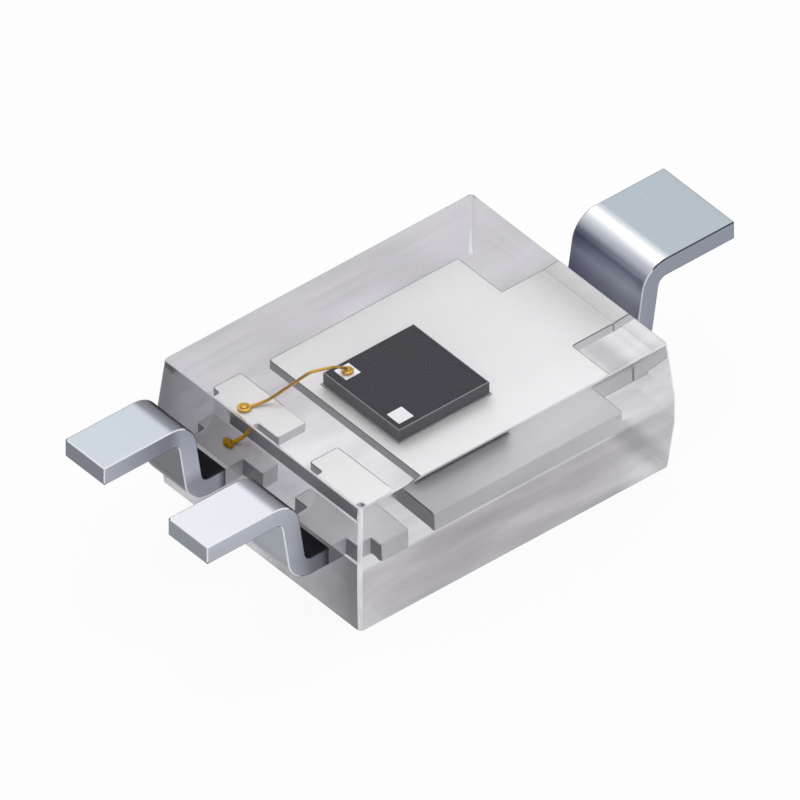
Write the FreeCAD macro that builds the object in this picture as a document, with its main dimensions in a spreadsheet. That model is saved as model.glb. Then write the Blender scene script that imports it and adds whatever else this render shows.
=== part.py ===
import FreeCAD, Part
import math
import os

import Sketcher

# Ambient light sensor: a silicon photodiode chip on a silver-plated copper leadframe, moulded into
# a clear epoxy package. Three leads are formed up past the light window (reverse gull wing), so the
# part is soldered face down and looks through a hole in its board.
#
# Millimetres. The origin is the middle of the package's underside. +X points along the wide lead,
# which carries the chip, and +Z points out of the light window.

SIZES = [
    # Moulded package
    ("PackageLength", 2.60, "across the parting band, along the leads"),
    ("PackageWidth", 2.00, "across the parting band, across the leads"),
    ("PackageHeight", 1.00, "underside to light window"),
    ("DraftAngle", 5.0, "mould draft above and below the band, degrees"),
    ("BandBelow", 0.02, "upright band under the leadframe"),
    ("BandAbove", 0.04, "upright band over the leadframe"),
    ("CornerRound", 0.03, "upright corners of the package"),
    ("RimRound", 0.012, "rim of the window"),
    # Leadframe sheet
    ("FrameLevel", 0.397, "underside of the sheet over the package underside"),
    ("FrameThickness", 0.136, "plated copper sheet"),
    ("StampRound", 0.02, "corners of the stamped outline"),
    ("FrameShift", -0.035, "die pad, chip, posts and wide lead sit off the package's middle by this"),
    # Formed leads
    ("LeadSpan", 4.58, "tip to tip"),
    ("LeadExit", 0.13, "straight run outside the package before the first bend"),
    ("LowerBend", 0.06, "inside radius of the bend beside the package"),
    ("RiserLean", 8.5, "riser leans away from the package, degrees"),
    ("UpperBend", 0.065, "inside radius of the bend into the foot"),
    ("FootTop", 1.067, "solder face over the package underside"),
    ("NarrowLeadWidth", 0.383, "each of the two narrow leads"),
    ("NarrowLeadPitch", 1.006, "between the narrow leads' middles"),
    ("WideLeadWidth", 0.69, "die pad lead"),
    # Bond posts, the T-shaped inner ends of the narrow leads
    ("StemLength", 0.27, "from the package's end to the post"),
    ("PostDepth", 0.233, "along the lead"),
    ("PostWidth", 0.644, "across the lead"),
    ("PostPitch", 0.948, "between the posts' middles"),
    # Die pad
    ("PadGap", 0.212, "from the posts to the pad, along the leads"),
    ("PadWidth", 1.552, "across the leads"),
    ("NeckLength", 0.335, "from the pad to the package's end"),
    # Chip
    ("ChipSide", 0.74, "square photodiode chip"),
    ("ChipThickness", 0.19, "sawn silicon"),
    ("ChipInset", 0.107, "from the pad's inner edge to the chip"),
    ("ChipBevel", 0.008, "top edges of the chip"),
    ("AttachThickness", 0.012, "silver-filled epoxy under the chip"),
    ("AttachRim", 0.014, "epoxy squeezed out round the chip"),
    # Aluminium bond pads on the chip
    ("BondPadSide", 0.12, "both pads are square"),
    ("BondPadThickness", 0.004, "aluminium"),
    ("WiredPadInsetX", 0.06, "from the chip's edge beside the posts"),
    ("WiredPadInsetY", 0.033, "from the chip's side edge"),
    ("SparePadInsetX", 0.04, "from the chip's edge beside the posts"),
    ("SparePadInsetY", 0.047, "from the chip's side edge"),
    # Gold bond wire
    ("WireDiameter", 0.0265, "gold wire"),
    ("BallDiameter", 0.08, "ball bond on the chip"),
    ("BallHeight", 0.03, "ball bond, pressed flat"),
    ("BumpDiameter", 0.09, "security bump on the post"),
    ("BumpHeight", 0.03, "security bump, pressed flat"),
    ("BumpReach", 0.211, "from the post's inner edge to the bump's middle"),
    ("BumpSide", 0.029, "from the lead's middle to the bump's middle"),
    ("WireLaunch", 77.0, "slope of the wire as it leaves the ball, degrees"),
    ("ShoulderRise", 0.124, "shoulder of the loop over the bond pad"),
    ("CrestReach", 0.248, "crest of the loop from the ball, level"),
    ("CrestRise", 0.136, "crest of the loop over the bond pad"),
    ("ToeReach", 0.133, "last bend of the loop from the bump, level"),
    ("ShoulderRadius", 0.14, "bend at the shoulder"),
    ("CrestRadius", 0.076, "bend at the crest"),
    ("ToeRadius", 0.22, "bend before the bump"),
]


# Measures: a number that remembers the sheet formula it came from

class Measure:
    """A value for drawing with, and the formula on the sheet that drives it."""

    def __init__(self, formula, value):
        self.formula = formula
        self.value = value

    def __add__(self, other):
        return combine(self, "+", other, self.value + number(other))

    def __radd__(self, other):
        return combine(other, "+", self, number(other) + self.value)

    def __sub__(self, other):
        return combine(self, "-", other, self.value - number(other))

    def __rsub__(self, other):
        return combine(other, "-", self, number(other) - self.value)

    def __mul__(self, other):
        return combine(self, "*", other, self.value * number(other))

    def __rmul__(self, other):
        return combine(other, "*", self, number(other) * self.value)

    def __truediv__(self, other):
        return combine(self, "/", other, self.value / number(other))

    def __neg__(self):
        return Measure(f"(-1 * {self.formula})", -self.value)


def number(item):
    return item.value if isinstance(item, Measure) else float(item)


def formula(item):
    return item.formula if isinstance(item, Measure) else repr(float(item))


def combine(left, sign, right, value):
    return Measure(f"({formula(left)} {sign} {formula(right)})", value)


def sine(angle):
    return Measure(f"sin({formula(angle)})", math.sin(math.radians(number(angle))))


def cosine(angle):
    return Measure(f"cos({formula(angle)})", math.cos(math.radians(number(angle))))


def tangent(angle):
    return Measure(f"tan({formula(angle)})", math.tan(math.radians(number(angle))))


def root(square):
    return Measure(f"sqrt({square.formula})", math.sqrt(square.value))


def heading(across, along):
    """Angle in degrees of a step that goes along in x and across in y."""
    angle = math.degrees(math.atan2(number(across), number(along)))
    return Measure(f"atan2({formula(across)}; {formula(along)})", angle)


doc = FreeCAD.newDocument("AmbientLightSensor")
sheet = doc.addObject("Spreadsheet::Sheet", "Sizes")
size = {}
for row, (name, value, remark) in enumerate(SIZES, start=1):
    sheet.set(f"A{row}", remark)
    sheet.set(f"B{row}", str(value))
    sheet.setAlias(f"B{row}", name)
    size[name] = Measure(f"Sizes.{name}", value)
doc.recompute()

# Two levels this close, in millimetres, are the same
SAME_LEVEL = 1e-6

# Levels and places that several pieces share

frame_bottom = size["FrameLevel"]
frame_top = frame_bottom + size["FrameThickness"]
band_bottom = frame_bottom - size["BandBelow"]
band_top = frame_top + size["BandAbove"]
package_end = size["PackageLength"] / 2
shift = size["FrameShift"]

post_outer = package_end - size["StemLength"]
post_inner = post_outer - size["PostDepth"]

pad_outer = package_end - size["NeckLength"]
pad_inner = -post_inner + size["PadGap"]

chip_near = pad_inner + size["ChipInset"]
chip_half = size["ChipSide"] / 2
chip_x = chip_near + chip_half
chip_base = frame_top + size["AttachThickness"]
chip_top = chip_base + size["ChipThickness"]

pad_half = size["BondPadSide"] / 2
bond_pad_top = chip_top + size["BondPadThickness"]
wired_x = chip_near + size["WiredPadInsetX"] + pad_half
wired_y = shift + chip_half - size["WiredPadInsetY"] - pad_half
spare_x = chip_near + size["SparePadInsetX"] + pad_half
spare_y = shift - chip_half + size["SparePadInsetY"] + pad_half

narrow_half_pitch = size["NarrowLeadPitch"] / 2
post_half_pitch = size["PostPitch"] / 2
bump_x = -post_inner - size["BumpReach"]
bump_y = narrow_half_pitch - size["BumpSide"]


# Shared ways of drawing

def place(piece, x, y, z, turn=None):
    """Puts a piece's own origin at a point, turned about the upright axis."""
    for letter, measure in zip("xyz", (x, y, z)):
        piece.setExpression(f"Placement.Base.{letter}", formula(measure))
    if turn is not None:
        piece.Placement.Rotation = FreeCAD.Rotation(FreeCAD.Vector(0, 0, 1), number(turn))
        piece.setExpression("Placement.Rotation.Angle", formula(turn))


def new_body(name):
    body = doc.addObject("PartDesign::Body", name)
    body.Label = name
    return body


def new_sketch(body, name, role, level=None):
    """Attaches a sketch to one of its body's origin planes, at a level over that plane."""
    sketch = body.newObject("Sketcher::SketchObject", name)
    planes = [item for item in body.Origin.OriginFeatures if item.Role == role]
    sketch.AttachmentSupport = [(planes[0], "")]
    sketch.MapMode = "FlatFace"
    if level is not None:
        sketch.setExpression("AttachmentOffset.Base.z", formula(level))
    return sketch


def drive(sketch, index, measure):
    sketch.setExpression(f"Constraints[{index}]", formula(measure))


def pin_point(sketch, curve, end, x, y):
    """Fixes one end of a curve at a measured point."""
    origin = (-1, 1)
    for kind, measure in (("DistanceX", x), ("DistanceY", y)):
        index = sketch.addConstraint(Sketcher.Constraint(kind, *origin, curve, end, number(measure)))
        drive(sketch, index, measure)


def draw_outline(sketch, points):
    """A closed outline of straight lines through measured points."""
    corners = [FreeCAD.Vector(number(x), number(y), 0) for x, y in points]
    count = len(corners)
    for place_in_row, corner in enumerate(corners):
        sketch.addGeometry(Part.LineSegment(corner, corners[(place_in_row + 1) % count]))
    for line in range(count):
        sketch.addConstraint(Sketcher.Constraint("Coincident", line, 2, (line + 1) % count, 1))
        pin_point(sketch, line, 1, *points[line])


def draw_rectangle(sketch, x_low, x_high, y_low, y_high):
    draw_outline(sketch, [(x_low, y_low), (x_high, y_low), (x_high, y_high), (x_low, y_high)])


def add_pad(body, name, sketch, depth, taper=None, reverse=False, both_ways=False):
    pad = body.newObject("PartDesign::Pad", name)
    pad.Profile = sketch
    pad.setExpression("Length", formula(depth))
    if taper is not None:
        pad.setExpression("TaperAngle", formula(taper))
    pad.Reversed = reverse
    if both_ways:
        pad.SideType = "Symmetric"
    doc.recompute()
    return pad


def add_rounding(body, name, kind, radius, wanted):
    """Rounds or bevels every edge of the body so far whose middle and direction are wanted."""
    base = body.Tip
    names = []
    for index, edge in enumerate(base.Shape.Edges, start=1):
        start, end = edge.Vertexes[0].Point, edge.Vertexes[-1].Point
        if wanted((start + end) * 0.5, end - start):
            names.append(f"Edge{index}")
    feature = body.newObject(f"PartDesign::{kind}", name)
    feature.Base = (base, names)
    feature.setExpression("Radius" if kind == "Fillet" else "Size", formula(radius))
    doc.recompute()
    return feature


def is_upright(direction):
    return abs(direction.z) > 2 * math.hypot(direction.x, direction.y)


# Formed lead: side profile of the sheet as it leaves the package, rises and turns out into the foot

def draw_formed_strip(sketch, start_x):
    sheet_depth = size["FrameThickness"]
    lean = size["RiserLean"]
    lower_inside = size["LowerBend"]
    lower_outside = lower_inside + sheet_depth
    upper_inside = size["UpperBend"]
    upper_outside = upper_inside + sheet_depth
    foot_top = size["FootTop"]
    foot_bottom = foot_top - sheet_depth
    tip = size["LeadSpan"] / 2

    # Both bends' middles: the riser is a straight line that touches the two bends
    lower_x = package_end + size["LeadExit"]
    lower_z = frame_top + lower_inside
    upper_z = foot_bottom - upper_inside
    climb = upper_z - lower_z
    upper_x = lower_x + (lower_inside + upper_outside) / cosine(lean) + climb * tangent(lean)

    def at(x, z):
        return FreeCAD.Vector(number(x), number(z), 0)

    def on_bend(x, z, radius, turned):
        return at(x + radius * cosine(turned), z + radius * sine(turned))

    def bend(x, z, radius, low, high):
        circle = Part.Circle(at(x, z), FreeCAD.Vector(0, 0, 1), number(radius))
        return Part.ArcOfCircle(circle, math.radians(number(low)), math.radians(number(high)))

    lower_riser_in = on_bend(lower_x, lower_z, lower_inside, -lean)
    lower_riser_out = on_bend(lower_x, lower_z, lower_outside, -lean)
    upper_riser_in = on_bend(upper_x, upper_z, upper_outside, 180 - lean)
    upper_riser_out = on_bend(upper_x, upper_z, upper_inside, 180 - lean)
    curves = [
        Part.LineSegment(at(start_x, frame_top), at(lower_x, frame_top)),
        bend(lower_x, lower_z, lower_inside, -90, -lean),
        Part.LineSegment(lower_riser_in, upper_riser_in),
        bend(upper_x, upper_z, upper_outside, 90, 180 - lean),
        Part.LineSegment(at(upper_x, foot_top), at(tip, foot_top)),
        Part.LineSegment(at(tip, foot_top), at(tip, foot_bottom)),
        Part.LineSegment(at(tip, foot_bottom), at(upper_x, foot_bottom)),
        bend(upper_x, upper_z, upper_inside, 90, 180 - lean),
        Part.LineSegment(upper_riser_out, lower_riser_out),
        bend(lower_x, lower_z, lower_outside, -90, -lean),
        Part.LineSegment(at(lower_x, frame_bottom), at(start_x, frame_bottom)),
        Part.LineSegment(at(start_x, frame_bottom), at(start_x, frame_top)),
    ]
    sketch.addGeometry(curves)
    flat_top, lower_in, riser_in, upper_out, foot, tip_end = range(6)
    foot_under, upper_in, riser_out, lower_out, flat_under, start_end = range(6, 12)
    first, last, middle = 1, 2, 3

    def constrain(*words):
        return sketch.addConstraint(Sketcher.Constraint(*words))

    # Straight runs flow into the bends
    for one, one_end, other, other_end in (
        (flat_top, last, lower_in, first),
        (lower_in, last, riser_in, first),
        (riser_in, last, upper_out, last),
        (upper_out, first, foot, first),
        (foot_under, last, upper_in, first),
        (upper_in, last, riser_out, first),
        (riser_out, last, lower_out, last),
        (lower_out, first, flat_under, first),
    ):
        constrain("Tangent", one, one_end, other, other_end)
    for one, other in (
        (foot, tip_end),
        (tip_end, foot_under),
        (flat_under, start_end),
        (start_end, flat_top),
    ):
        constrain("Coincident", one, last, other, first)
    for line in (flat_top, foot, foot_under, flat_under):
        constrain("Horizontal", line)
    for line in (tip_end, start_end):
        constrain("Vertical", line)
    # Inside and outside of a bend share a middle
    constrain("Coincident", lower_in, middle, lower_out, middle)
    constrain("Coincident", upper_in, middle, upper_out, middle)
    for curve, radius in (
        (lower_in, lower_inside),
        (lower_out, lower_outside),
        (upper_in, upper_inside),
        (upper_out, upper_outside),
    ):
        drive(sketch, constrain("Radius", curve, number(radius)), radius)
    pin_point(sketch, flat_top, first, start_x, frame_top)
    pin_point(sketch, tip_end, first, tip, foot_top)
    drive(sketch, constrain("DistanceX", -1, 1, lower_in, middle, number(lower_x)), lower_x)
    drive(sketch, constrain("DistanceX", -1, 1, upper_in, middle, number(upper_x)), upper_x)


def formed_lead(name, width, inner_outline, start_x):
    """A lead in its own frame, where x runs outward: stamped inner end, and strip formed up."""
    body = new_body(name)
    flat = new_sketch(body, f"{name}_inner_outline", "XY_Plane", frame_bottom)
    draw_outline(flat, inner_outline)
    add_pad(body, f"{name}_inner_end", flat, size["FrameThickness"])
    profile = new_sketch(body, f"{name}_profile", "XZ_Plane")
    draw_formed_strip(profile, start_x)
    add_pad(body, f"{name}_strip", profile, width, both_ways=True)
    return body


# Leadframe: die pad with the wide lead

def make_die_pad_lead():
    pad_side = size["PadWidth"] / 2
    outline = [
        (pad_inner, -pad_side),
        (pad_outer, -pad_side),
        (pad_outer, pad_side),
        (pad_inner, pad_side),
    ]
    body = formed_lead("die_pad_lead", size["WideLeadWidth"], outline, pad_outer)
    place(body, 0, shift, 0)
    limit = number(pad_outer) + number(size["StampRound"])

    def pad_corner(middle, direction):
        return is_upright(direction) and middle.x < limit

    add_rounding(body, "die_pad_corners", "Fillet", size["StampRound"], pad_corner)
    return body


# Leadframe: the two narrow leads with their bond posts

def make_narrow_lead(name, side):
    """side is +1 for the wired lead, -1 for the spare one. x runs outward, toward -X of the part."""
    lead_y = side * narrow_half_pitch
    post_y = lead_y - (shift + side * post_half_pitch)
    half = size["PostWidth"] / 2
    outline = [
        (post_inner, post_y - half),
        (post_outer, post_y - half),
        (post_outer, post_y + half),
        (post_inner, post_y + half),
    ]
    body = formed_lead(name, size["NarrowLeadWidth"], outline, post_outer)
    place(body, 0, lead_y, 0, Measure("180", 180))
    limit = number(post_outer) + number(size["StampRound"])

    def post_corner(middle, direction):
        return is_upright(direction) and middle.x < limit

    add_rounding(body, f"{name}_corners", "Fillet", size["StampRound"], post_corner)
    return body


# Chip, die attach and bond pads

def make_chip():
    body = new_body("photodiode_chip")
    sketch = new_sketch(body, "chip_outline", "XY_Plane")
    draw_rectangle(sketch, -chip_half, chip_half, -chip_half, chip_half)
    add_pad(body, "chip_block", sketch, size["ChipThickness"])
    top = number(size["ChipThickness"])

    def top_edge(middle, direction):
        return abs(middle.z - top) < SAME_LEVEL

    add_rounding(body, "chip_bevel", "Chamfer", size["ChipBevel"], top_edge)
    place(body, chip_x, shift, chip_base)
    return body


def make_die_attach():
    body = new_body("die_attach")
    sketch = new_sketch(body, "attach_outline", "XY_Plane")
    half = chip_half + size["AttachRim"]
    draw_rectangle(sketch, -half, half, -half, half)
    add_pad(body, "attach_film", sketch, size["AttachThickness"])
    half_film = size["AttachThickness"] / 2

    def film_edge(middle, direction):
        return middle.z > number(half_film) and not is_upright(direction)

    add_rounding(body, "attach_meniscus", "Chamfer", half_film, film_edge)
    place(body, chip_x, shift, frame_top)
    return body


def make_bond_pad(name, x, y):
    pad = doc.addObject("Part::Box", name)
    pad.Label = name
    for side in ("Length", "Width"):
        pad.setExpression(side, formula(size["BondPadSide"]))
    pad.setExpression("Height", formula(size["BondPadThickness"]))
    place(pad, x - pad_half, y - pad_half, chip_top)
    return pad


# Bond wire, in its own frame: x runs level from the ball on the chip to the bump on the post

def pressed_ball(body, name, centre_x, base_z, diameter, height):
    """A ball cut flat below and above, turned about the upright line at centre_x."""
    sketch = new_sketch(body, f"{name}_profile", "XZ_Plane")
    radius = diameter / 2
    middle_z = base_z + height / 2
    flat = root(radius * radius - height * height / 4)
    swing = math.atan2(number(height) / 2, number(flat))
    middle = FreeCAD.Vector(number(centre_x), number(middle_z), 0)
    low = FreeCAD.Vector(number(centre_x), number(base_z), 0)
    high = FreeCAD.Vector(number(centre_x), number(base_z + height), 0)
    reach = FreeCAD.Vector(number(flat), 0, 0)
    ball = Part.Circle(middle, FreeCAD.Vector(0, 0, 1), number(radius))
    sketch.addGeometry([
        Part.LineSegment(low, low + reach),
        Part.ArcOfCircle(ball, -swing, swing),
        Part.LineSegment(high + reach, high),
        Part.LineSegment(high, low),
    ])
    base, edge, top, axis = range(4)
    for one, other in ((base, edge), (edge, top), (top, axis), (axis, base)):
        sketch.addConstraint(Sketcher.Constraint("Coincident", one, 2, other, 1))
    for line in (base, top):
        sketch.addConstraint(Sketcher.Constraint("Horizontal", line))
    pin_point(sketch, base, 1, centre_x, base_z)
    pin_point(sketch, axis, 1, centre_x, base_z + height)
    pin_point(sketch, edge, 3, centre_x, middle_z)
    drive(sketch, sketch.addConstraint(Sketcher.Constraint("Radius", edge, number(radius))), radius)
    turned = body.newObject("PartDesign::Revolution", name)
    turned.Profile = sketch
    turned.ReferenceAxis = (sketch, [f"Edge{axis + 1}"])
    turned.Angle = 360
    doc.recompute()
    return turned


def draw_route(sketch, corners, radii):
    """Straight runs joined by arcs that touch both runs, through measured corners."""
    points = [FreeCAD.Vector(number(x), number(z), 0) for x, z in corners]
    curves = []
    start = points[0]
    for before, corner, after, radius in zip(points, points[1:], points[2:], radii):
        incoming = (corner - before).normalize()
        outgoing = (after - corner).normalize()
        turn = incoming.getAngle(outgoing)
        setback = number(radius) * math.tan(turn / 2)
        enter = corner - incoming * setback
        leave = corner + outgoing * setback
        bisector = (outgoing - incoming).normalize()
        centre = corner + bisector * (number(radius) / math.cos(turn / 2))
        through = centre - bisector * number(radius)
        curves.append(Part.LineSegment(start, enter))
        curves.append(Part.Arc(enter, through, leave))
        start = leave
    curves.append(Part.LineSegment(start, points[-1]))
    sketch.addGeometry(curves)

    def nearest_end(curve, point):
        gaps = [(sketch.getPoint(curve, end) - point).Length for end in (1, 2)]
        return 1 if gaps[0] < gaps[1] else 2

    # The runs, carried on to where they cross, meet at the measured corners
    marks = []
    for corner, point in zip(corners[1:-1], points[1:-1]):
        mark = sketch.addGeometry(Part.Point(point), True)
        pin_point(sketch, mark, 1, *corner)
        marks.append(mark)
    for index, (arc, radius) in enumerate(zip(range(1, len(curves), 2), radii)):
        enter = sketch.getPoint(arc - 1, 2)
        leave = sketch.getPoint(arc + 1, 1)
        sketch.addConstraint(Sketcher.Constraint("Tangent", arc - 1, 2, arc, nearest_end(arc, enter)))
        sketch.addConstraint(Sketcher.Constraint("Tangent", arc + 1, 1, arc, nearest_end(arc, leave)))
        drive(sketch, sketch.addConstraint(Sketcher.Constraint("Radius", arc, number(radius))), radius)
        for line in (arc - 1, arc + 1):
            sketch.addConstraint(Sketcher.Constraint("PointOnObject", marks[index], 1, line))
    pin_point(sketch, 0, 1, *corners[0])
    pin_point(sketch, len(curves) - 1, 2, *corners[-1])


def make_bond_wire():
    run_x = bump_x - wired_x
    run_y = bump_y - wired_y
    span = root(run_x * run_x + run_y * run_y)
    wire = size["WireDiameter"]
    launch = size["WireLaunch"]
    body = new_body("bond_wire")
    place(body, wired_x, wired_y, bond_pad_top, heading(run_y, run_x))

    # Heights are over the bond pad; the post lies lower
    post_level = frame_top - bond_pad_top
    stitch = post_level + size["BumpHeight"] / 2
    start = size["BallHeight"] / 3
    here = Measure("0", 0)
    pressed_ball(body, "chip_ball", here, here, size["BallDiameter"], size["BallHeight"])
    pressed_ball(body, "post_bump", span, post_level, size["BumpDiameter"], size["BumpHeight"])

    rise = size["ShoulderRise"] - start
    corners = [
        (here, start),
        (rise / tangent(launch), size["ShoulderRise"]),
        (size["CrestReach"], size["CrestRise"]),
        (span - size["ToeReach"], stitch),
        (span, stitch),
    ]
    route = new_sketch(body, "wire_route", "XZ_Plane")
    draw_route(route, corners, [size["ShoulderRadius"], size["CrestRadius"], size["ToeRadius"]])

    # The wire's round section stands square to its first run
    section = new_sketch(body, "wire_section", "XY_Plane", start)
    lean = 90 - launch
    section.AttachmentOffset = FreeCAD.Placement(
        section.AttachmentOffset.Base,
        FreeCAD.Rotation(FreeCAD.Vector(0, 1, 0), number(lean)),
    )
    section.setExpression("AttachmentOffset.Rotation.Angle", formula(lean))
    middle, axis = FreeCAD.Vector(0, 0, 0), FreeCAD.Vector(0, 0, 1)
    section.addGeometry(Part.Circle(middle, axis, number(wire) / 2))
    section.addConstraint(Sketcher.Constraint("Coincident", 0, 3, -1, 1))
    drive(section, section.addConstraint(Sketcher.Constraint("Diameter", 0, number(wire))), wire)
    doc.recompute()
    sweep = body.newObject("PartDesign::AdditivePipe", "wire_sweep")
    sweep.Profile = section
    sweep.Spine = route
    doc.recompute()
    return body


# Package: moulded outer form, less everything that the epoxy was moulded round

def make_outer_form():
    body = new_body("package_outer_form")
    half_width = size["PackageWidth"] / 2
    box = (-package_end, package_end, -half_width, half_width)
    band = new_sketch(body, "band_outline", "XY_Plane", band_bottom)
    draw_rectangle(band, *box)
    add_pad(body, "band", band, band_top - band_bottom)
    upper = new_sketch(body, "upper_outline", "XY_Plane", band_top)
    draw_rectangle(upper, *box)
    add_pad(body, "upper_half", upper, size["PackageHeight"] - band_top, taper=-size["DraftAngle"])
    lower = new_sketch(body, "lower_outline", "XY_Plane", band_bottom)
    draw_rectangle(lower, *box)
    add_pad(body, "lower_half", lower, band_bottom, taper=-size["DraftAngle"], reverse=True)
    top = number(size["PackageHeight"])

    def on_corner(middle, direction):
        return is_upright(direction)

    def on_rim(middle, direction):
        return abs(middle.z - top) < SAME_LEVEL

    add_rounding(body, "package_corners", "Fillet", size["CornerRound"], on_corner)
    add_rounding(body, "window_rim", "Fillet", size["RimRound"], on_rim)
    return body


def make_package(contents):
    outer = make_outer_form()
    filling = doc.addObject("Part::MultiFuse", "package_contents")
    filling.Shapes = contents
    package = doc.addObject("Part::Cut", "clear_package")
    package.Label = "clear_package"
    package.Base = outer
    package.Tool = filling
    doc.recompute()
    return package


die_pad_lead = make_die_pad_lead()
bonded_lead = make_narrow_lead("bonded_lead", 1)
spare_lead = make_narrow_lead("spare_lead", -1)
photodiode_chip = make_chip()
die_attach = make_die_attach()
wired_bond_pad = make_bond_pad("wired_bond_pad", wired_x, wired_y)
spare_bond_pad = make_bond_pad("spare_bond_pad", spare_x, spare_y)
bond_wire = make_bond_wire()
pieces = [
    die_pad_lead,
    bonded_lead,
    spare_lead,
    photodiode_chip,
    die_attach,
    wired_bond_pad,
    spare_bond_pad,
    bond_wire,
]
clear_package = make_package(pieces)
pieces = [clear_package] + pieces

# Every object is sound before anything is written

for item in doc.Objects:
    if "Invalid" in item.State or "Error" in item.State:
        raise RuntimeError(f"{item.Label} did not build: {item.State}")
for piece in pieces:
    if piece.Shape.isNull() or not piece.Shape.isValid():
        raise RuntimeError(f"{piece.Label} has no valid shape")
    if len(piece.Shape.Solids) != 1:
        raise RuntimeError(f"{piece.Label} is {len(piece.Shape.Solids)} solids")

os.makedirs("parts", exist_ok=True)
for piece in pieces:
    piece.Shape.exportStep(f"parts/{piece.Label}.step")
    box = piece.Shape.BoundBox
    reach_x = f"x {box.XMin:.3f}..{box.XMax:.3f}"
    reach_y = f"y {box.YMin:.3f}..{box.YMax:.3f}"
    reach_z = f"z {box.ZMin:.3f}..{box.ZMax:.3f}"
    print(f"{piece.Label:18s} {piece.Shape.Volume:.5f} mm3  {reach_x}  {reach_y}  {reach_z}")
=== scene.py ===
import math

import bmesh
import bpy
from mathutils import Matrix, Vector


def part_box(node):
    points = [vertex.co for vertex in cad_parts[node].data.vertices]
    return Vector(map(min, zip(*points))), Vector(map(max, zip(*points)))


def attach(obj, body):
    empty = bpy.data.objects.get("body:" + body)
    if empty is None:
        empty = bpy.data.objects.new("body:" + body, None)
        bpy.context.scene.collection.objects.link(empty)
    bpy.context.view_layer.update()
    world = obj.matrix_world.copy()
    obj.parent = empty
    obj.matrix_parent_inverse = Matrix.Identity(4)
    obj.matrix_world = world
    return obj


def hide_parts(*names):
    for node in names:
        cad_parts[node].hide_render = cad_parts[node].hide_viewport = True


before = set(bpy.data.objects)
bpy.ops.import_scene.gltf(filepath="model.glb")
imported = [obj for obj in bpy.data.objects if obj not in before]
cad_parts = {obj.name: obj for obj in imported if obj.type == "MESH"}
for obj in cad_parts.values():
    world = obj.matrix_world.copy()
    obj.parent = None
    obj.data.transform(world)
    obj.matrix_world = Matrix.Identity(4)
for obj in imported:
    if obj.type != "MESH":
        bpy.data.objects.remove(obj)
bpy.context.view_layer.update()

# Ambient light sensor: clear epoxy package round a silver-plated leadframe and a photodiode chip.
# Lengths are written in millimetres and turned to metres by MM.

MM = 0.001

# Package
DRAFT = math.radians(5)
BAND_BELOW = 0.02 * MM
BAND_ABOVE = 0.04 * MM
CORNER_ROUND = 0.03 * MM
RIM_ROUND = 0.012 * MM
LARGEST_ROUNDED_FACE = 0.08 * MM * MM

# Leadframe
SHEET = 0.136 * MM
LEAN = math.radians(8.5)
LEAD_EXIT = 0.13 * MM
LOWER_BEND = 0.06 * MM
UPPER_BEND = 0.065 * MM
NARROW_WIDTH = 0.383 * MM
NARROW_PITCH = 1.006 * MM
WIDE_WIDTH = 0.69 * MM
STEM = 0.27 * MM
NECK = 0.335 * MM
STAMP_ROUND = 0.02 * MM
EDGE_ROLL = 0.009 * MM
BEND_STEPS = 28

# Bond wire: its thickness, its two bonds, and the corners and rounds of its loop over the pad
WIRE = 0.0265 * MM
BALL = 0.08 * MM
BALL_RISE = 0.03 * MM
BUMP = 0.09 * MM
BUMP_RISE = 0.03 * MM
LAUNCH = math.radians(77)
SHOULDER_RISE = 0.124 * MM
LOOP_REACH = 0.248 * MM
LOOP_RISE = 0.136 * MM
STITCH_RUN = 0.133 * MM
LOOP_ROUNDS = (0.14 * MM, 0.076 * MM, 0.22 * MM)

# Camera: the photograph's view is parallel, from the front left and above
VIEW_AZIMUTH = math.radians(-40)
VIEW_ELEVATION = math.radians(40)
PIXELS_PER_MM = 159.4
PICTURE = 800
AIM = Vector((-0.2034, -0.0873, 0.7645)) * MM
CAMERA_AWAY = 60 * MM

# Resin: how much light it takes up, how far its faces bend what is seen, and its flow marks
RESIN_DENSITY = 60.0
RESIN_COLOUR = (0.06, 0.0, 0.12, 1)
WINDOW_BENDING = 1.5
CORNER_BENDING = 1.5
SIDE_BENDING = 1.2
END_BENDING = 1.3
UNDERSIDE_BENDING = 1.1
FLOW_SIZE = 0.32 * MM
FLOW_STRETCH = (0.3, 1.0, 1.0)
FLOW_FAINTEST, FLOW_CLEAREST = 0.36, 0.64
RIM_ROUGHNESS = 0.22

# Plating: the size of its clouds and its grain, the painted highlight and painted shades of its edges,
# and the colours of its inner faces, the shaded one a painted shade
PLATE_CLOUD = 0.3 * MM
PLATE_GRAIN = 0.007 * MM
EDGE_GRAIN = 0.02 * MM
PAINTED_EDGE_HIGHLIGHT = (0.86, 0.87, 0.90, 1)
PAINTED_EDGE_SHADE = (0.03, 0.032, 0.045, 1)
SHADED_EDGE = (0.16, 0.16, 0.17, 1)
INSIDE_FLAT = (1.0, 1.0, 1.0)
INSIDE_SIDE = (0.98, 0.98, 1.0)
INSIDE_SHADED = (0.40, 0.40, 0.42)

# Floor, and the soft box over the object
FLOOR_SIZE = 90 * MM
FLOOR_DROP = 0.01 * MM
FLOOR_PAINT = (0.86, 0.86, 0.87, 1)
FLOOR_WHITE = 0.92
LAMP_PLACE = (10 * MM, 14 * MM, 45 * MM)
LAMP_SIZE = 30 * MM
LAMP_RADIANCE = 1.2


# Places taken from the frame

package_low, package_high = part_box("clear_package")
wide_low, wide_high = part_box("die_pad_lead")
bonded_low, bonded_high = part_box("bonded_lead")
spare_low, spare_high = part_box("spare_lead")
wired_low, wired_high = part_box("wired_bond_pad")
chip_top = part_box("photodiode_chip")[1].z

sheet_under = wide_low.z
sheet_top = sheet_under + SHEET
foot_top = wide_high.z
package_end = package_high.x
package_side = package_high.y
package_top = package_high.z
frame_middle_y = (wide_low.y + wide_high.y) / 2
wide_lead_low = frame_middle_y - WIDE_WIDTH / 2
wide_lead_high = frame_middle_y + WIDE_WIDTH / 2

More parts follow.
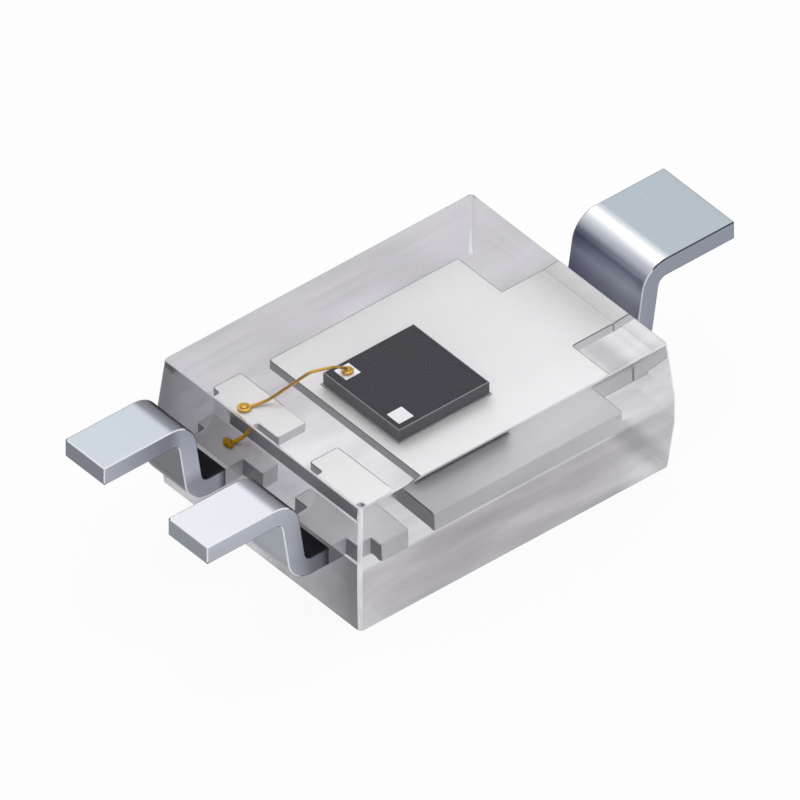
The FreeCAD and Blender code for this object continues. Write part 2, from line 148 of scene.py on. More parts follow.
# Middles of the two bends, and where the riser and the foot begin, counted outward and upward
lower_bend_x = package_end + LEAD_EXIT
lower_bend_z = sheet_top + LOWER_BEND
upper_outside = UPPER_BEND + SHEET
upper_bend_z = foot_top - upper_outside
climb = upper_bend_z - lower_bend_z
upper_bend_x = lower_bend_x + (LOWER_BEND + upper_outside) / math.cos(LEAN) + climb * math.tan(LEAN)
riser_top = upper_bend_z + upper_outside * math.sin(LEAN)


# Working by hand in edit mode

def select_nothing():
    if bpy.context.mode != "OBJECT":
        bpy.ops.object.mode_set(mode="OBJECT")
    bpy.ops.object.select_all(action="DESELECT")


def select_only(*pieces):
    """Selects these pieces, and makes the last of them the active one."""
    select_nothing()
    for piece in pieces:
        piece.select_set(True)
    bpy.context.view_layer.objects.active = pieces[-1]


def start_editing(piece):
    select_only(piece)
    bpy.ops.object.mode_set(mode="EDIT")


def stop_editing():
    bpy.ops.object.mode_set(mode="OBJECT")


def pick(kind, wanted):
    """Selects the faces, edges or points of the piece being edited that are wanted."""
    mode = {"faces": "FACE", "edges": "EDGE", "verts": "VERT"}[kind]
    bpy.ops.mesh.select_mode(type=mode)
    bpy.ops.mesh.select_all(action="DESELECT")
    mesh = bmesh.from_edit_mesh(bpy.context.edit_object.data)
    for item in getattr(mesh, kind):
        if wanted(item):
            item.select_set(True)
    mesh.select_flush_mode()
    bmesh.update_edit_mesh(bpy.context.edit_object.data)


def edge_middle(edge):
    return (edge.verts[0].co + edge.verts[1].co) / 2


def edge_way(edge):
    return edge.verts[1].co - edge.verts[0].co


def upright(edge):
    way = edge_way(edge)
    return abs(way.z) > 2 * math.hypot(way.x, way.y)


def near(one, other, gap=0.0005 * MM):
    return abs(one - other) < gap


def finish_place(piece, name):
    """Puts the piece's place, turn and size into its mesh."""
    piece.name = name
    piece.data.name = name
    bpy.ops.object.transform_apply(location=True, rotation=True, scale=True)
    return piece


def add_block(name, low, high):
    select_nothing()
    middle = (Vector(low) + Vector(high)) / 2
    extent = Vector(high) - Vector(low)
    bpy.ops.mesh.primitive_cube_add(size=1, location=middle, scale=extent)
    return finish_place(bpy.context.object, name)


def add_modifier(piece, kind, **settings):
    """Adds a modifier and applies it."""
    select_only(piece)
    modifier = piece.modifiers.new(kind.title(), kind)
    for key, value in settings.items():
        setattr(modifier, key, value)
    bpy.ops.object.modifier_apply(modifier=modifier.name)


def smooth_small_faces(piece, largest):
    """Rounded edges are smooth, and the large flats that they join stay flat."""
    for face in piece.data.polygons:
        face.use_smooth = face.area < largest


# Package: band between two drafted halves, with rounded corners and rim

def make_resin():
    band_low = sheet_under - BAND_BELOW
    band_high = sheet_top + BAND_ABOVE
    low = (-package_end, -package_side, band_low)
    high = (package_end, package_side, band_high)
    resin = add_block("resin", low, high)
    start_editing(resin)
    for level, end in ((band_high, package_top), (band_low, package_low.z)):
        rise = end - level
        pick("faces", lambda face: near(face.calc_center_median().z, level))
        bpy.ops.mesh.extrude_region_move(TRANSFORM_OT_translate={"value": (0, 0, rise)})
        inset = abs(rise) * math.tan(DRAFT)
        bpy.ops.transform.resize(value=(1 - inset / package_end, 1 - inset / package_side, 1))
    pick("edges", upright)
    bpy.ops.mesh.bevel(offset=CORNER_ROUND, segments=8, affect="EDGES")
    for level, width in ((package_top, RIM_ROUND), (package_low.z, RIM_ROUND / 4)):
        pick("edges", lambda edge: all(near(vert.co.z, level) for vert in edge.verts))
        bpy.ops.mesh.bevel(offset=width, segments=4, affect="EDGES")
    stop_editing()
    smooth_small_faces(resin, LARGEST_ROUNDED_FACE)
    return resin


# Leads: the sheet's upper face is drawn out round its bends in short steps, and then thickened

UPPER_FACE, UNDER_FACE, SHEARED_FACE, SHADED_FACE, ROLLED_EDGE = range(5)


def make_lead(name, plates, outward, inner, post_low, post_high, lead_low, lead_high, post_outer):
    """A stamped and formed lead. Its post or pad spans inner to post_outer and post_low to post_high.

    The lead leaves it between lead_low and lead_high. Outward is 1 or -1, the way it goes along X.
    The plates are the finishes of the upper, under, sheared and shaded faces, and of the edges, with
    painted light and shade in their colours.
    """
    select_nothing()
    middle_x = outward * (inner + post_outer) / 2
    middle_y = (post_low + post_high) / 2
    scale = (post_outer - inner, post_high - post_low, 1)
    bpy.ops.mesh.primitive_plane_add(size=1, location=(middle_x, middle_y, sheet_top))
    bpy.context.object.scale = scale
    lead = finish_place(bpy.context.object, name)
    start_editing(lead)
    for side in (lead_low, lead_high):
        bpy.ops.mesh.select_all(action="SELECT")
        bpy.ops.mesh.bisect(plane_co=(0, side, 0), plane_no=(0, 1, 0), threshold=0.0001 * MM)

    def root_edge(edge):
        middle = edge_middle(edge)
        level = near(middle.x, outward * post_outer) and near(edge_way(edge).x, 0)
        return level and lead_low < middle.y < lead_high

    def draw_out(x, z):
        bpy.ops.mesh.extrude_region_move(TRANSFORM_OT_translate={"value": (outward * x, 0, z)})

    def bend(radius, start, stop):
        """Carries the edge round an arc, from one angle to another as its middle sees them."""
        step = (stop - start) / BEND_STEPS
        for count in range(BEND_STEPS):
            here, there = start + step * count, start + step * (count + 1)
            draw_out(
                radius * (math.cos(there) - math.cos(here)),
                radius * (math.sin(there) - math.sin(here)),
            )

    pick("edges", root_edge)
    riser_x = upper_bend_x - lower_bend_x - (upper_outside + LOWER_BEND) * math.cos(LEAN)
    riser_z = climb + (upper_outside + LOWER_BEND) * math.sin(LEAN)
    draw_out(lower_bend_x - post_outer, 0)
    bend(LOWER_BEND, -math.pi / 2, -LEAN)
    draw_out(riser_x, riser_z)
    bend(upper_outside, math.pi - LEAN, math.pi / 2)
    tip = wide_high.x if outward > 0 else -bonded_low.x
    draw_out(tip - upper_bend_x, 0)
    bpy.ops.mesh.select_all(action="SELECT")
    bpy.ops.mesh.remove_doubles(threshold=0.0001 * MM)
    bpy.ops.mesh.normals_make_consistent(inside=False)
    mesh = bmesh.from_edit_mesh(lead.data)
    mesh.faces.ensure_lookup_table()
    widest = max(mesh.faces, key=lambda face: face.calc_area())
    if widest.normal.z < 0:
        bpy.ops.mesh.select_all(action="SELECT")
        bpy.ops.mesh.flip_normals()
    stop_editing()
    for plate in plates:
        lead.data.materials.append(plate)
    add_modifier(
        lead,
        "SOLIDIFY",
        thickness=SHEET,
        offset=-1,
        use_even_offset=True,
        material_offset=UNDER_FACE,
        material_offset_rim=SHEARED_FACE,
    )
    start_editing(lead)

    def stamped_corner(edge):
        middle = edge_middle(edge)
        inside = abs(middle.x) < post_outer + 0.01 * MM
        corner_y = near(middle.y, post_low) or near(middle.y, post_high)
        root_y = near(middle.y, lead_low) or near(middle.y, lead_high)
        root = root_y and near(abs(middle.x), post_outer)
        return inside and upright(edge) and (corner_y or root)

    pick("edges", stamped_corner)
    bpy.ops.mesh.bevel(offset=STAMP_ROUND, segments=5, affect="EDGES")
    stop_editing()
    # Faces inside the package that face -X get the shaded plate, a painted shade.
    for face in lead.data.polygons:
        if face.normal.x < -0.5 and abs(face.center.x) < package_end - EDGE_ROLL:
            face.material_index = SHADED_FACE
    bpy.ops.object.shade_smooth_by_angle(angle=math.radians(24))
    add_modifier(
        lead,
        "BEVEL",
        width=EDGE_ROLL,
        segments=3,
        limit_method="ANGLE",
        angle_limit=math.radians(40),
        use_clamp_overlap=True,
        harden_normals=True,
        material=ROLLED_EDGE,
    )
    return lead


# Bond wire: drawn gold wire, ball bond on the chip, and a bump under its far end

def round_route(corners, radii, steps=14):
    """Straight runs joined by arcs that touch both runs, as a list of points."""
    points = [corners[0]]
    for before, corner, after, radius in zip(corners, corners[1:], corners[2:], radii):
        incoming = (corner - before).normalized()
        outgoing = (after - corner).normalized()
        turn = incoming.angle(outgoing)
        setback = radius * math.tan(turn / 2)
        bisector = (outgoing - incoming).normalized()
        centre = corner + bisector * (radius / math.cos(turn / 2))
        enter = corner - incoming * setback - centre
        axis = incoming.cross(outgoing).normalized()
        for step in range(steps + 1):
            points.append(centre + Matrix.Rotation(turn * step / steps, 3, axis) @ enter)
    points.append(corners[-1])
    return points


def pressed_ball(name, foot, width, height):
    """A ball pressed flat by the bonding tool: a disc with a bulging side and a collar at the wire."""
    select_nothing()
    middle = foot + Vector((0, 0, height / 2))
    bpy.ops.mesh.primitive_cylinder_add(vertices=48, radius=width / 2, depth=height, location=middle)
    ball = finish_place(bpy.context.object, name)
    start_editing(ball)
    pick("faces", lambda face: face.normal.z > 0.9)
    bpy.ops.mesh.inset(thickness=width * 0.2)
    bpy.ops.mesh.extrude_region_move(TRANSFORM_OT_translate={"value": (0, 0, height * 0.35)})
    bpy.ops.transform.resize(value=(0.75, 0.75, 1))
    stop_editing()
    add_modifier(
        ball,
        "BEVEL",
        width=height * 0.35,
        segments=5,
        limit_method="ANGLE",
        angle_limit=math.radians(35),
    )
    return ball


def make_bond_wire():
    ball_at = (wired_low + wired_high) / 2
    pad_top = wired_high.z
    wire_low, wire_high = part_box("bond_wire")
    bump_at = Vector((wire_low.x + BUMP / 2, wire_high.y - BUMP / 2, sheet_top))
    level = Vector((bump_at.x - ball_at.x, bump_at.y - ball_at.y, 0))
    span = level.length
    along = level.normalized()
    start_rise = BALL_RISE / 3
    stitch_rise = sheet_top - pad_top + BUMP_RISE / 2
    route = [
        (0, start_rise),
        ((SHOULDER_RISE - start_rise) / math.tan(LAUNCH), SHOULDER_RISE),
        (LOOP_REACH, LOOP_RISE),
        (span - STITCH_RUN, stitch_rise),
        (span, stitch_rise),
    ]
    foot = Vector((ball_at.x, ball_at.y, pad_top))
    corners = [foot + along * reach + Vector((0, 0, rise)) for reach, rise in route]
    points = round_route(corners, LOOP_ROUNDS)
    curve = bpy.data.curves.new("wire_line", "CURVE")
    curve.dimensions = "3D"
    curve.bevel_depth = WIRE / 2
    curve.bevel_resolution = 6
    curve.use_fill_caps = True
    line = curve.splines.new("POLY")
    line.points.add(len(points) - 1)
    for point, place in zip(line.points, points):
        point.co = (*place, 1)
    wire = bpy.data.objects.new("gold_wire", curve)
    bpy.context.scene.collection.objects.link(wire)
    select_only(wire)
    bpy.ops.object.convert(target="MESH")
    wire = bpy.context.object
    ball = pressed_ball("gold_ball", foot, BALL, BALL_RISE)
    bump = pressed_ball("gold_bump", bump_at, BUMP, BUMP_RISE)
    select_only(ball, bump, wire)
    bpy.ops.object.join()
    bpy.ops.object.shade_smooth_by_angle(angle=math.radians(50))
    wire.name = "gold_wire"
    return wire


# Shader maths

class Signal:
    """A shader socket that can be reckoned with."""

    def __init__(self, recipe, socket):
        self.recipe = recipe
        self.socket = socket

    def reckon(self, operation, one, other):
        return self.recipe.add("ShaderNodeMath", {"operation": operation}, {0: one, 1: other})

    def __add__(self, other):
        return self.reckon("ADD", self, other)

    def __radd__(self, other):
        return self.reckon("ADD", other, self)

    def __sub__(self, other):
        return self.reckon("SUBTRACT", self, other)

    def __rsub__(self, other):
        return self.reckon("SUBTRACT", other, self)

    def __mul__(self, other):
        return self.reckon("MULTIPLY", self, other)

    def __rmul__(self, other):
        return self.reckon("MULTIPLY", other, self)


class Recipe:
    """The node tree of one material, or of the world."""

    def __init__(self, owner):
        owner.use_nodes = True
        self.tree = owner.node_tree
        self.tree.nodes.clear()

    def add(self, kind, settings=None, sockets=None, output=0):
        node = self.tree.nodes.new(kind)
        for key, value in (settings or {}).items():
            if key == "stops":
                self.set_stops(node.color_ramp, value)
            else:
                setattr(node, key, value)
        for key, value in (sockets or {}).items():
            if isinstance(value, Signal):
                self.tree.links.new(value.socket, node.inputs[key])
            else:
                node.inputs[key].default_value = value
        return Signal(self, node.outputs[output]) if node.outputs else None

    @staticmethod
    def set_stops(ramp, stops):
        while len(ramp.elements) < len(stops):
            ramp.elements.new(1.0)
        for element, (place, value) in zip(ramp.elements, stops):
            element.position = place
            element.color = (*value[:3], 1) if isinstance(value, tuple) else (value, value, value, 1)

    def place(self, stretch=(1, 1, 1)):
        coordinates = self.add("ShaderNodeTexCoord", output="Object")
        return self.add("ShaderNodeMapping", {}, {"Vector": coordinates, "Scale": stretch})

    def noise(self, size, detail=2.0, stretch=(1, 1, 1)):
        """Noise whose lumps are about this size, in metres."""
        sockets = {"Vector": self.place(stretch), "Scale": 1 / size, "Detail": detail}
        return self.add("ShaderNodeTexNoise", {}, sockets)

    def along(self, axis):
        """How far a point lies along X, Y or Z, in millimetres."""
        coordinates = self.add("ShaderNodeTexCoord", output="Object")
        metres = self.add("ShaderNodeSeparateXYZ", {}, {"Vector": coordinates}, output=axis)
        return metres * (1 / MM)

    def fade(self, signal, start, end):
        """0 up to the start, 1 from the end on, and even between."""
        return self.add("ShaderNodeMapRange", {}, {"Value": signal, "From Min": start, "From Max": end})

    def reach(self):
        """How far a point lies from the middle, along the leads, in millimetres."""
        return self.add("ShaderNodeMath", {"operation": "ABSOLUTE"}, {0: self.along("X")})

    def blend(self, share, one, other, way="MIX"):
        """One colour at 0 and the other at 1."""
        sockets = {"Factor": share, 6: one, 7: other}
        return self.add("ShaderNodeMix", {"data_type": "RGBA", "blend_type": way}, sockets, output=2)

    def ramp(self, signal, *stops):
        return self.add("ShaderNodeValToRGB", {"stops": stops}, {"Fac": signal})

    def bump(self, height, strength, distance):
        sockets = {"Height": height, "Strength": strength, "Distance": distance}
        return self.add("ShaderNodeBump", {}, sockets)

    def finish(self, sockets, volume=None):
        shader = self.add("ShaderNodeBsdfPrincipled", {}, sockets)
        outputs = {"Surface": shader}
        if volume:
            outputs["Volume"] = volume
        self.add("ShaderNodeOutputMaterial", {}, outputs)


def new_material(name):
    material = bpy.data.materials.new(name)
    return material, Recipe(material)


def shade_of(tint, share):
    return (*(channel * share for channel in tint), 1)


def shares_of_tint(tint, *stops):
    """The stops of a ramp that are shares of one tint."""
    return [(place, shade_of(tint, share)) for place, share in stops]


# Materials of the package

def clear_epoxy(name, bending, faintest, axis, start, end, stops, upper=None, lengthwise=None):
    """Clear resin with flow marks. Its surface tint, which paints shade and light seen through the face,
    runs from start to end along an axis.

    Above the leadframe the tint can have stops of its own, and it is less polished next to the rim.
    On the near side the tint's share of the light can also run along the package, as a painted shade.
    """
    material, recipe = new_material(name)
    flow = recipe.noise(FLOW_SIZE, 2.0, FLOW_STRETCH)
    way = recipe.fade(recipe.along(axis), start, end)
    tint = recipe.ramp(way, *stops)
    marks = recipe.ramp(flow, (FLOW_FAINTEST, faintest), (FLOW_CLEAREST, 1.0))
    rough = 0.0
    if upper:
        height = recipe.along("Z")
        above = recipe.fade(height, sheet_top / MM - 0.02, sheet_top / MM + 0.01)
        tint = recipe.blend(above, tint, recipe.ramp(way, *upper))
        rough = RIM_ROUGHNESS * recipe.fade(height, package_top / MM - 0.10, package_top / MM - 0.03)
    sockets = {"Color": RESIN_COLOUR, "Density": RESIN_DENSITY}
    volume = recipe.add("ShaderNodeVolumeAbsorption", {}, sockets)
    # Painted shade on the near side, running along the package.
    if lengthwise:
        along = recipe.fade(recipe.along("X"), -package_end / MM, package_end / MM)
        along = along * recipe.fade(recipe.along("Y"), 0.1, -0.2)
        marks = recipe.blend(1.0, recipe.ramp(along, *lengthwise), marks, "MULTIPLY")
    recipe.finish(
        {
            "Base Color": recipe.blend(1.0, tint, marks, "MULTIPLY"),
            "Roughness": rough,
            "IOR": bending,
            "Transmission Weight": 1.0,
        },
        volume,
    )
    return material


def milky_corner_with_painted_highlight():
    """The mould's polish ends at the upright corners, which are slightly milky; their pale colour is a
    painted highlight.
    """
    material, recipe = new_material("clear_epoxy_corner")
    flow = recipe.noise(0.1 * MM, 1.0)
    recipe.finish({
        "Base Color": recipe.ramp(flow, (0.3, (0.88, 0.88, 0.90)), (0.7, (0.98, 0.98, 1.0))),
        "Roughness": 0.3,
        "IOR": CORNER_BENDING,
        "Transmission Weight": 0.35,
    })
    return material


CLEAR = (1.0, 0.99, 1.0)
PLAIN = ((0.0, CLEAR), (1.0, CLEAR))
# Painted shade on the narrow leads' end of the package, darkest towards the back.
NARROW_END = ((0.0, (0.66, 0.65, 0.70)), (0.5, (0.46, 0.45, 0.50)), (1.0, (0.07, 0.065, 0.08)))

# Faintest is the share of the light left in the darkest flow marks. The tint, painted shade and light,
# runs along the axis, from start to end in millimetres. Upper is its stops above the leadframe, where
# they aren't the same or the face is less polished next to the rim. Lengthwise is its share along the
# package, a painted shade on the near side.
RESIN_FACES = {
    "window": {
        "bending": WINDOW_BENDING,
        "faintest": 0.97,
        "axis": "Y",
        "start": -1.0,
        "end": 1.0,
        "stops": PLAIN,
    },
    "underside": {
        "bending": UNDERSIDE_BENDING,
        "faintest": 0.62,
        "axis": "Y",
        "start": -0.5,
        "end": 0.7,
        "stops": ((0.0, (0.90, 0.89, 0.92)), (0.5, (0.84, 0.83, 0.87)), (1.0, (0.50, 0.485, 0.54))),
        "lengthwise": ((0.0, 1.0), (0.93, 1.0), (0.97, 0.47)),
    },
    "sides": {
        "bending": SIDE_BENDING,
        "faintest": 0.75,
        "axis": "X",
        "start": -1.2,
        "end": 1.2,
        "stops": (
            (0.0, (0.53, 0.51, 0.545)),
            (0.35, (0.32, 0.305, 0.335)),
            (0.7, (0.34, 0.325, 0.355)),
            (0.85, (0.41, 0.395, 0.43)),
            (1.0, (0.68, 0.665, 0.70)),
        ),
        "upper": ((0.0, (0.88, 0.87, 0.89)), (1.0, (0.86, 0.85, 0.87))),
    },
    "narrow_lead_end": {
        "bending": END_BENDING,
        "faintest": 0.80,
        "axis": "Y",
        "start": -0.9,
        "end": 0.9,
        "stops": NARROW_END,
        "upper": NARROW_END,
    },
    "narrow_lead_end_foot": {
        "bending": END_BENDING,
        "faintest": 0.75,
        "axis": "Y",
        "start": -0.9,
        "end": 0.9,
        "stops": ((0.0, (0.045, 0.044, 0.052)), (0.25, (0.19, 0.185, 0.21)), (0.8, (0.70, 0.69, 0.72))),
    },
    "wide_lead_end": {
        "bending": END_BENDING,
        "faintest": 0.92,
        "axis": "Y",
        "start": -1.0,
        "end": 1.0,
        "stops": PLAIN,
        "upper": ((0.0, (0.60, 0.59, 0.62)), (0.40, (0.64, 0.63, 0.66)), (0.50, CLEAR)),
    },
}


def resin_face(face):
    """Which of the package's finishes a face has."""
    normal = face.normal
    if abs(normal.z) > 0.5:
        return "window" if normal.z > 0 else "underside"
    # Only the near upright corners get the milky finish with its painted highlight.
    if min(abs(normal.x), abs(normal.y)) > 0.25 and face.center.y < 0:
        return "corner"
    if abs(normal.y) > abs(normal.x):
        return "sides"
    if normal.x > 0:
        return "wide_lead_end"
    return "narrow_lead_end_foot" if face.center.z < sheet_top + BAND_ABOVE else "narrow_lead_end"


def dress_resin(resin):
    """Polished window, and moulded underside, sides, ends and corners that let less light through; their
    tints are painted shade and light.
    """
    resin.data.materials.clear()
    names = ["corner"]
    resin.data.materials.append(milky_corner_with_painted_highlight())
    for name, finish in RESIN_FACES.items():
        resin.data.materials.append(clear_epoxy("clear_epoxy_" + name, **finish))
        names.append(name)
    for face in resin.data.polygons:
        face.material_index = names.index(resin_face(face))


# Materials of the leads

def plated_face(name, outside, inside, rough, clear_by=0.0):
    """Satin plating. Outside the package a function makes its colour, and inside it is pale, with
    painted light growing towards the front.
    """
    material, recipe = new_material(name)
    cloud = recipe.noise(PLATE_CLOUD, 2.0)
    grain = recipe.noise(PLATE_GRAIN, 3.0)
    reach = recipe.reach()
    end = package_end / MM + clear_by
    cover = recipe.fade(reach, end, end - 0.01)
    # Painted light inside the package: the plating gets lighter towards the front.
    front = recipe.fade(recipe.along("Y"), 0.8, -0.8)
    sanded = recipe.ramp(grain, (0.3, 0.90), (0.7, 1.0))
    even = recipe.ramp(front, (0.0, shade_of(inside, 0.80)), (1.0, inside))
    colour = recipe.blend(cover, outside(recipe, reach), even)
    recipe.finish({
        "Base Color": recipe.blend(1.0, colour, sanded, "MULTIPLY"),
        "Metallic": 1.0 - 0.45 * cover,
        "Roughness": rough + 0.20 * cover + 0.05 * cloud,
        "Normal": recipe.bump(grain, 0.15, 0.0006 * MM),
    })
    return material


# Painted highlights and shade along the upper face: 0 is on the foot just before the bend, 0.5 is where
# the riser begins, and 1 is at the bottom of the riser. The wide lead's riser is lighter on its near
# side, a painted light.

WIDE_FAR = (
    (0.042, (0.61, 0.645, 0.69)),
    (0.12, (0.87, 0.90, 0.935)),
    (0.261, (0.83, 0.865, 0.915)),
    (0.325, (0.655, 0.70, 0.76)),
    (0.381, (0.45, 0.48, 0.56)),
    (0.428, (0.156, 0.183, 0.24)),
    (0.465, (0.175, 0.20, 0.285)),
    (0.563, (0.34, 0.37, 0.48)),
    (0.70, (0.22, 0.24, 0.345)),
    (0.84, (0.16, 0.163, 0.23)),
)
WIDE_NEAR = (
    (0.042, (0.645, 0.68, 0.716)),
    (0.12, (0.90, 0.93, 0.95)),
    (0.261, (0.915, 0.95, 0.97)),
    (0.325, (0.625, 0.65, 0.735)),
    (0.381, (0.515, 0.55, 0.64)),
    (0.428, (0.30, 0.32, 0.41)),
    (0.465, (0.47, 0.51, 0.655)),
    (0.563, (0.64, 0.69, 0.80)),
    (0.70, (0.41, 0.45, 0.555)),
    (0.84, (0.39, 0.42, 0.495)),
)
NARROW_BEND = (
    (0.042, 0.97),
    (0.12, 0.49),
    (0.193, 0.36),
    (0.261, 0.27),
    (0.325, 0.09),
    (0.381, 0.06),
    (1.0, 0.04),
)


def upper_plate(name, tint, far_tones, near_tones, clear_by):
    """Rolled upper face: its painted highlight and shade follow the bend, and then the riser down to the
    package.
    """

    def outside(recipe, reach):
        foot_edge = upper_bend_x / MM
        riser_edge = (upper_bend_x - upper_outside * math.cos(LEAN)) / MM
        turned = recipe.fade(reach, foot_edge + 0.04, riser_edge)
        down = recipe.fade(recipe.along("Z"), riser_top / MM, sheet_top / MM)
        way = 0.5 * turned + 0.5 * down
        near_side = recipe.fade(recipe.along("Y"), 0.25, -0.30)
        foot = (0.0, tint)
        far_tint = recipe.ramp(way, foot, *far_tones)
        near_tint = recipe.ramp(way, foot, *near_tones)
        return recipe.blend(near_side, far_tint, near_tint)

    return plated_face(name, outside, INSIDE_FLAT, 0.28, clear_by)


def under_plate(name, tint):
    """Rolled lower face: even down the riser, and painted shade where it turns to the package."""

    def outside(recipe, reach):
        down = recipe.fade(recipe.along("Z"), upper_bend_z / MM, sheet_under / MM)
        return recipe.ramp(down, *shares_of_tint(tint, (0.0, 1.0), (0.55, 1.0), (0.80, 0.72), (0.97, 0.25)))

    return plated_face(name, outside, INSIDE_FLAT, 0.30)


def sheared_plate(name, tint, tip_tint, riser_share, inside):
    """Sides and tips left by the shear: greyer than the rolled faces, and darker still at the tips,
    partly as cut metal and partly as painted shade.
    """

    def outside(recipe, reach):
        tip = recipe.fade(reach, wide_high.x / MM - 0.012, wide_high.x / MM - 0.004)
        # Painted light and shade down the riser and at its bottom, by the riser's share of the tint.
        low = recipe.fade(reach, upper_bend_x / MM + 0.02, upper_bend_x / MM - 0.08)
        bottom = recipe.fade(recipe.along("Z"), sheet_top / MM + 0.13, sheet_top / MM + 0.03)
        side = recipe.blend(low, (*tint, 1), shade_of(tint, riser_share))
        side = recipe.blend(bottom, side, shade_of(tint, 0.65 + 0.25 * riser_share))
        side = recipe.blend(tip, side, (*tip_tint, 1))
        # Painted shade at the root, next to the package.
        root = recipe.fade(reach, package_end / MM + 0.06, package_end / MM)
        return recipe.blend(root, side, shade_of(tint, 0.15))

    return plated_face(name, outside, inside, 0.36)


def rolled_edge(name, near_inside, far_outside, riser, foot):
    """Edges rolled over by the stamping tool: some carry a painted highlight, and some a painted shade.
    """
    material, recipe = new_material(name)
    grain = recipe.noise(EDGE_GRAIN, 2.0)
    reach = recipe.reach()
    across = recipe.along("Y")
    height = recipe.along("Z")
    cover = recipe.fade(reach, package_end / MM, package_end / MM - 0.01)
    riser_middle = upper_bend_x - (UPPER_BEND + SHEET / 2) * math.cos(LEAN)
    slope = math.tan(LEAN)
    start = (riser_middle - riser_top * slope) / MM
    on_foot = recipe.fade(reach - slope * height, start - 0.01, start + 0.01)
    foot_under = (foot_top - SHEET) / MM
    below = recipe.fade(height, foot_under + 0.02, foot_under + 0.01)
    above = recipe.fade(height, foot_under - 0.02, foot_under - 0.01)
    outside = recipe.blend(on_foot, riser, foot)
    # Painted dark lines under the foot and along the far side outside the package.
    outside = recipe.blend(on_foot * below * above, outside, PAINTED_EDGE_SHADE)
    far = recipe.fade(across, far_outside / MM - 0.02, far_outside / MM - 0.012)
    outside = recipe.blend(far, outside, PAINTED_EDGE_SHADE)
    away = recipe.fade(across, near_inside / MM + 0.012, near_inside / MM + 0.02)
    inside = recipe.blend(away, PAINTED_EDGE_HIGHLIGHT, SHADED_EDGE)
    recipe.finish({
        "Base Color": recipe.blend(cover, outside, inside),
        "Metallic": 0.3,
        "Roughness": 0.40 + 0.1 * grain,
    })
    return material


def lead_plates(name, tints, bend, clear_by, riser_share, edges):
    """All five finishes of a lead. The tints are its upper, under and sheared faces' and its tips', with
    painted light and shade in them.
    """
    rolled, under, sheared, tip = tints
    return [
        upper_plate(name + "_upper_plate", rolled, *bend, clear_by),
        under_plate(name + "_under_plate", under),
        sheared_plate(name + "_sheared_plate", sheared, tip, riser_share, INSIDE_SIDE),
        sheared_plate(name + "_shaded_plate", sheared, tip, riser_share, INSIDE_SHADED),
        rolled_edge(name + "_edge", *edges),
    ]


# Materials of the chip, its film and pads, and the wire

def coated_silicon():
    """Dark coating on top, a pale band on the sides just below it, and plain sawn sides."""
    material, recipe = new_material("coated_silicon")
    height = recipe.along("Z")
    top = chip_top / MM
    cloud = recipe.noise(0.4 * MM, 1.0)
    coating = recipe.ramp(cloud, (0.35, (0.001, 0.0, 0.014)), (0.65, (0.003, 0.001, 0.022)))
    sides = recipe.ramp(cloud, (0.35, (0.036, 0.032, 0.050)), (0.65, (0.046, 0.042, 0.062)))
    sides_with_pale_band = recipe.blend(recipe.fade(height, top - 0.009, top - 0.007), sides, (0.35, 0.35, 0.38, 1))
    recipe.finish({
        "Base Color": recipe.blend(recipe.fade(height, top - 0.002, top - 0.001), sides_with_pale_band, coating),
        "Roughness": 0.45,
        "IOR": 1.2,
    })
    return material


def silver_epoxy():
    material, recipe = new_material("silver_epoxy")
    flakes = recipe.noise(0.008 * MM, 3.0)
    colour = recipe.ramp(flakes, (0.35, (0.28, 0.28, 0.29)), (0.65, (0.55, 0.55, 0.57)))
    recipe.finish({
        "Base Color": colour,
        "Metallic": 0.6,
        "Roughness": 0.5,
        "Normal": recipe.bump(flakes, 0.5, 0.002 * MM),
    })
    return material


def pad_aluminium():
    material, recipe = new_material("pad_aluminium")
    grain = recipe.noise(0.006 * MM, 2.0)
    recipe.finish({
        "Base Color": recipe.ramp(grain, (0.3, (0.77, 0.77, 0.80)), (0.7, (0.85, 0.85, 0.88))),
        "Metallic": 0.75,
        "Roughness": 0.42 + 0.1 * grain,
        "Normal": recipe.bump(grain, 0.3, 0.0008 * MM),
    })
    return material


def gold():
    material, recipe = new_material("gold_wire")
    drawn = recipe.noise(0.004 * MM, 2.0)
    recipe.finish({
        "Base Color": recipe.ramp(drawn, (0.3, (0.60, 0.31, 0.018)), (0.7, (0.85, 0.50, 0.035))),
        "Metallic": 1.0,
        "Roughness": 0.24 + 0.1 * drawn,
        "Normal": recipe.bump(drawn, 0.2, 0.0006 * MM),
    })
    return material


def narrow_lead(name, low, high, lead_middle, tints, riser_share):
    """A narrow lead and its post. The bend's painted shade is made of shares of the foot's tint, a
    little bluer.
    """
    red, green, blue = tints[0]
    bend = shares_of_tint((red, 0.98 * green, 1.04 * blue), *NARROW_BEND)
    lead_low, lead_high = lead_middle - NARROW_WIDTH / 2, lead_middle + NARROW_WIDTH / 2
    # The riser's edges get the painted edge shade, and the foot's the painted edge highlight.
    edges = (lead_low, lead_high, PAINTED_EDGE_SHADE, PAINTED_EDGE_HIGHLIGHT)
    plates = lead_plates(name, tints, (bend, bend), 0.0, riser_share, edges)
    ends = (-high.x, low.y, high.y, lead_low, lead_high, package_end - STEM)
    return make_lead(name + "_lead_sheet", plates, -1, *ends)


def dress(piece, material):
    piece.data.materials.clear()
    piece.data.materials.append(material)


# Build and dress the object

resin = make_resin()
dress_resin(resin)
resin.visible_shadow = False
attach(resin, "root")
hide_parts("clear_package")

